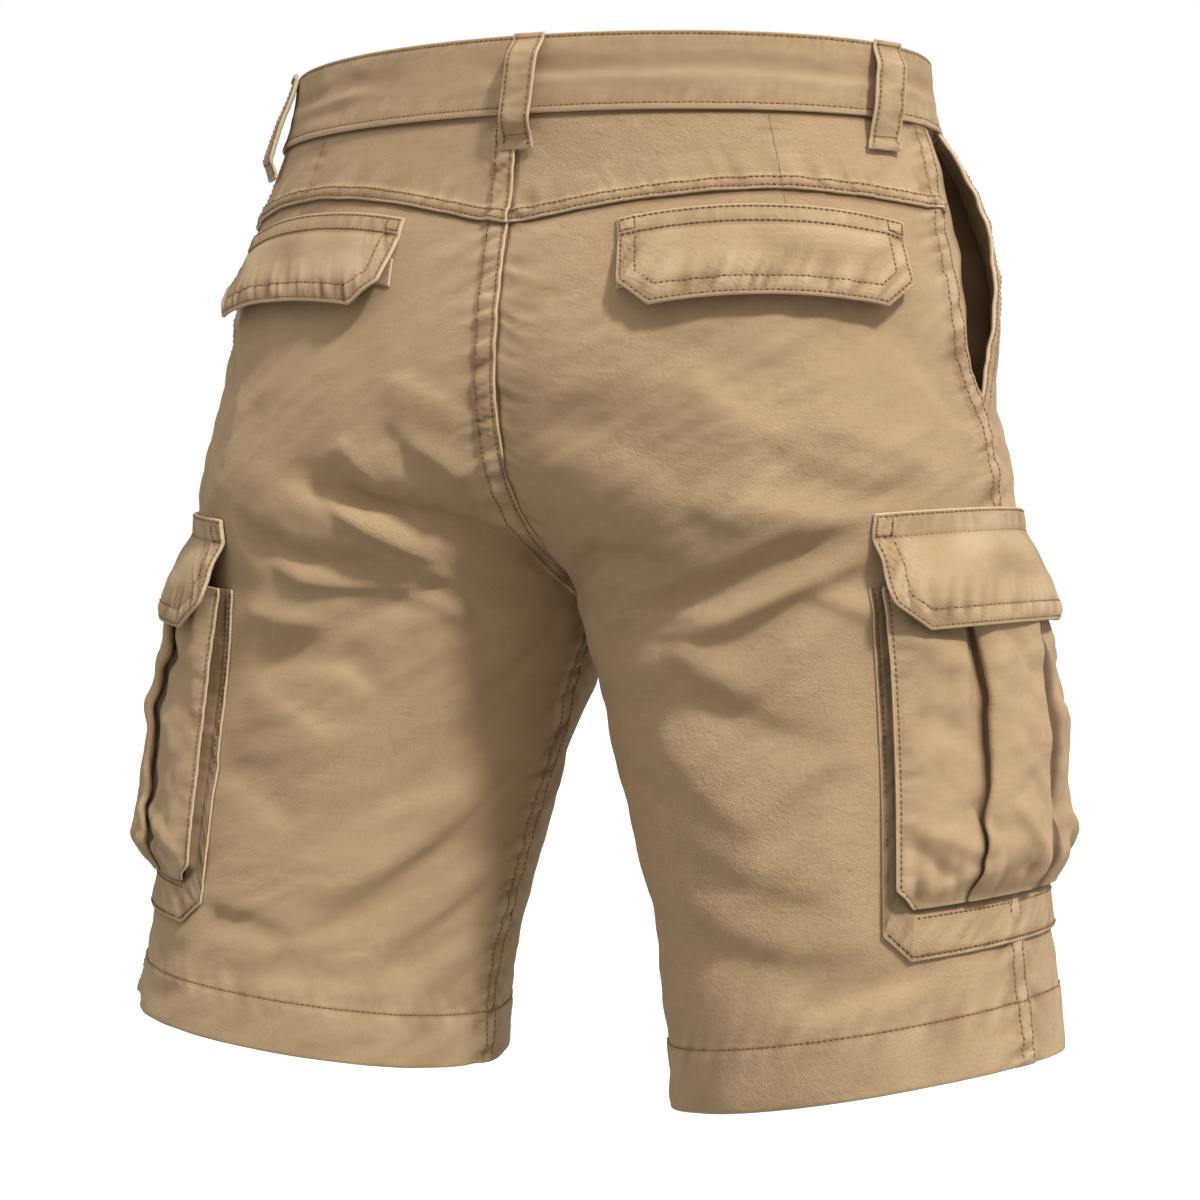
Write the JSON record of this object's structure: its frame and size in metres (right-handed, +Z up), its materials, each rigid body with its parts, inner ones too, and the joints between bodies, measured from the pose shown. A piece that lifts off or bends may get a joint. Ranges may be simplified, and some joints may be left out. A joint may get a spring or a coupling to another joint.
{
  "type": "cargo shorts",
  "caption": "Cargo shorts in cotton twill, filled out as worn, with belt loops, slanted hand pockets, flapped back pockets and a pleated cargo pocket on each leg.",
  "frame": {"origin": "middle of the ring that the waistband makes, at half its height, where the wearer's waist holds it", "axes": "+Z up, +Y towards the wearer's back, +X towards the wearer's left"},
  "size_m": [0.497, 0.2459, 0.5162],
  "materials": {
    "twill": "matte garment-washed cotton twill",
    "button": "satin, dark horn colour"
  },
  "bodies": {
    "root": {"waistband": "twill", "back_left": "twill", "back_right": "twill", "front_left": "twill", "front_right": "twill", "yoke_left": "twill", "yoke_right": "twill", "hip_facing_left": "twill", "hip_facing_right": "twill", "back_flap_left": "twill", "back_flap_right": "twill", "back_welt_left": "twill", "back_welt_right": "twill", "cargo_gusset_left": "twill", "cargo_gusset_right": "twill", "cargo_pocket_left": "twill", "cargo_pocket_right": "twill", "cargo_flap_left": "twill", "cargo_flap_right": "twill", "loop_back": "twill", "loop_side_left": "twill", "loop_side_right": "twill", "loop_front_left": "twill", "loop_front_right": "twill", "waist_button": "button"}
  },
  "joints": []
}
